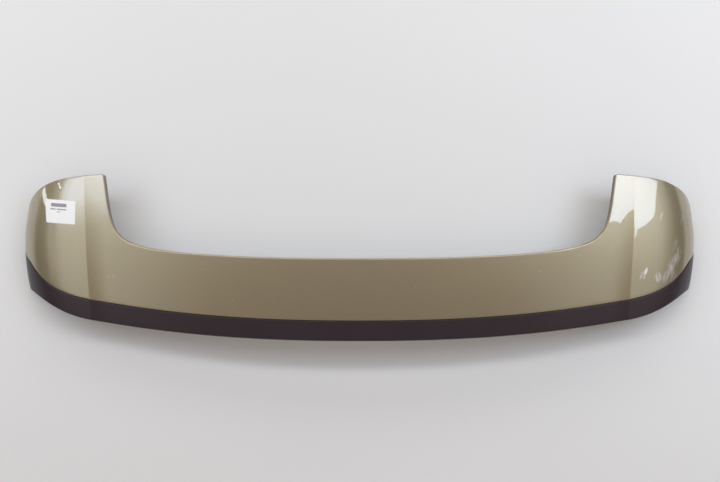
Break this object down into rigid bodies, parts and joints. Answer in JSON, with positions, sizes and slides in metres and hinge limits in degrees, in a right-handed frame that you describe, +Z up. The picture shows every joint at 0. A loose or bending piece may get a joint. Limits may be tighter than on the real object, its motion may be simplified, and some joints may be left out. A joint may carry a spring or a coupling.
{
  "type": "roof spoiler",
  "caption": "U-shaped rear roof spoiler for a hatchback: metallic painted outer shell, black lip band and lower shell, fixing studs and clips underneath.",
  "frame": {"origin": "on the ground plane under the middle of the outline: the spoiler stands on the lower edges of its two flanks", "axes": "+X across the car, +Y towards the front of the car and along the arms, +Z up out of the outer skin"},
  "size_m": [1.1708, 0.2801, 0.1114],
  "materials": {
    "paint": "champagne metallic paint under clear coat on moulded ABS",
    "black_plastic": "black moulded plastic, smooth and slightly glossy on the lip band",
    "plated_steel": "zinc plated steel",
    "foam": "closed-cell sealing foam",
    "nylon": "natural nylon"
  },
  "bodies": {
    "root": {"outer_shell": "paint", "lower_shell": "black_plastic", "mounting_studs": "plated_steel", "stud_gaskets": "foam", "front_clips": "nylon", "edge_seal": "foam"}
  },
  "joints": []
}
